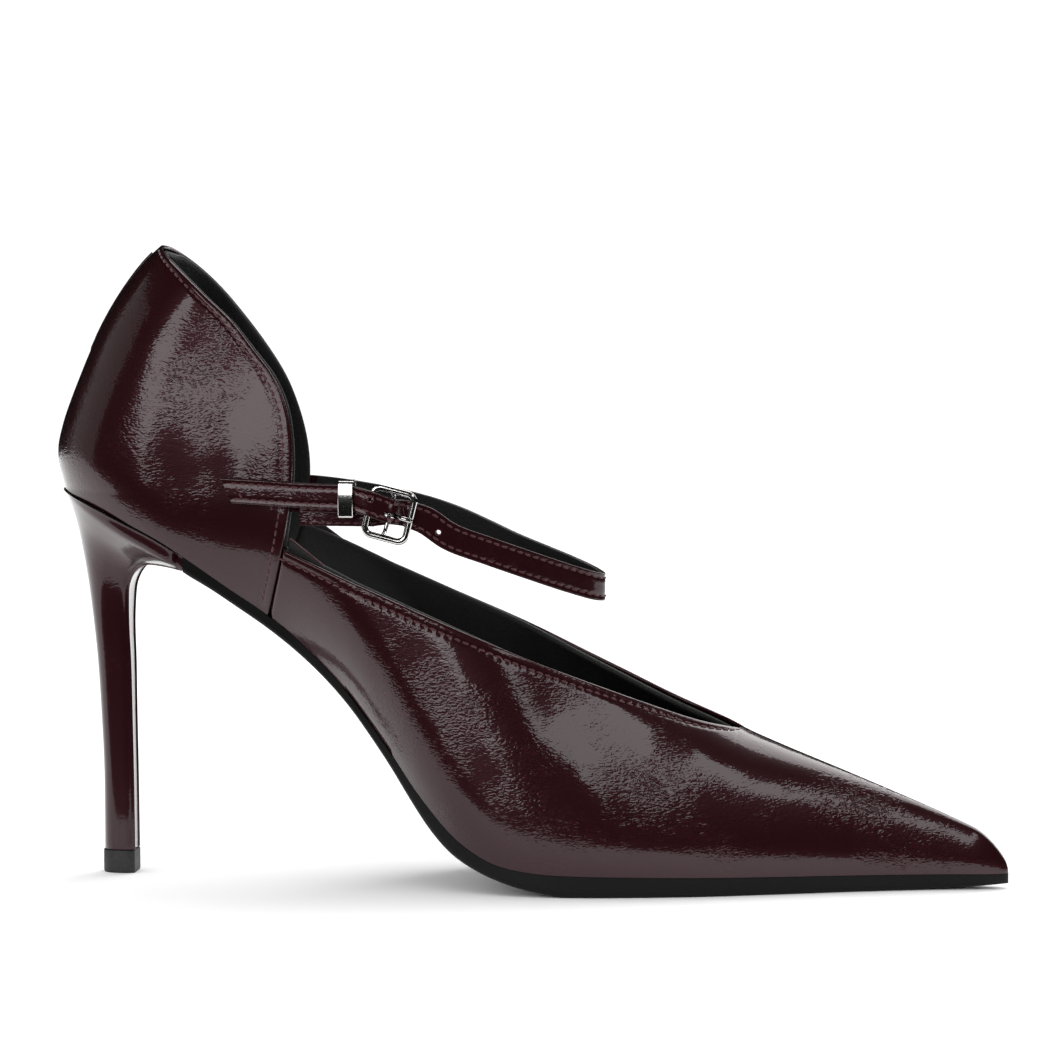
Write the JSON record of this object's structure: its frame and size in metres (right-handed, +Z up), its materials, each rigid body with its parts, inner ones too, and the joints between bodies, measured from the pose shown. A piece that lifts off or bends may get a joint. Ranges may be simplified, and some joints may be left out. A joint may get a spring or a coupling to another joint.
{
  "type": "high heel pump",
  "caption": "Pointed-toe stiletto pump for the right foot, in glossy crinkled leather, with cut-out sides and a buckled strap across the instep.",
  "frame": {"origin": "centre of the heel tip's underside, on the ground", "axes": "+X from the heel to the toe, +Y to the inner side of the foot, +Z up"},
  "size_m": [0.2492, 0.0743, 0.1646],
  "materials": {
    "patent_leather": "glossy crinkled dark burgundy patent",
    "black_lining": "matte black",
    "stiffener": "matte thermoplastic sheet",
    "insole_board": "matte pressed fibre board",
    "spring_steel": "plain steel",
    "cork_filler": "matte pressed cork",
    "black_sole": "smooth satin black",
    "heel_plastic": "matte moulded plastic",
    "black_tip": "matte black",
    "polished_nickel": "polished"
  },
  "bodies": {
    "shoe": {"vamp": "patent_leather", "quarter_lateral": "patent_leather", "quarter_medial": "patent_leather", "quarter_lining": "black_lining", "heel_counter": "stiffener", "vamp_lining": "black_lining", "toe_puff": "stiffener", "insole_board": "insole_board", "sock_lining": "black_lining", "shank_steel": "spring_steel", "shank_rivet_rear": "spring_steel", "shank_rivet_front": "spring_steel", "bottom_filler": "cork_filler", "outsole": "black_sole", "heel_cover": "patent_leather", "heel_breast_cover": "patent_leather", "heel_block": "heel_plastic", "heel_dowel": "spring_steel", "top_piece": "black_tip", "top_piece_pin": "spring_steel", "heel_screw": "spring_steel", "heel_nail_1": "spring_steel", "heel_nail_2": "spring_steel", "heel_nail_3": "spring_steel", "heel_nail_4": "spring_steel", "side_tab_lateral": "black_lining", "side_tab_medial": "black_lining"},
    "fastened_strap": {"strap": "patent_leather", "strap_lining": "black_lining", "buckle_chape": "patent_leather"},
    "keeper": {"strap_keeper": "polished_nickel"},
    "buckle": {"buckle_frame": "polished_nickel"},
    "prong": {"buckle_prong": "polished_nickel"}
  },
  "joints": [
    {"name": "strap_swing", "type": "hinge", "parent": "shoe", "child": "fastened_strap", "pos_m": [0.046, 0, 0.1], "axis": [0, 1, 0], "range_deg": [-6, 15]},
    {"name": "keeper_slide", "type": "slide", "parent": "fastened_strap", "child": "keeper", "axis": [1, 0, 0], "range_m": [-0.006, 0.0005]},
    {"name": "buckle_rock", "type": "hinge", "parent": "fastened_strap", "child": "buckle", "pos_m": [0.076, -0.02832, 0.098], "axis": [0.2419, 0, 0.9703], "range_deg": [-3, 2]},
    {"name": "prong_lift", "type": "hinge", "parent": "buckle", "child": "prong", "pos_m": [0.076, -0.02832, 0.098], "axis": [-0.2419, 0, -0.9703], "range_deg": [0, 28]}
  ]
}
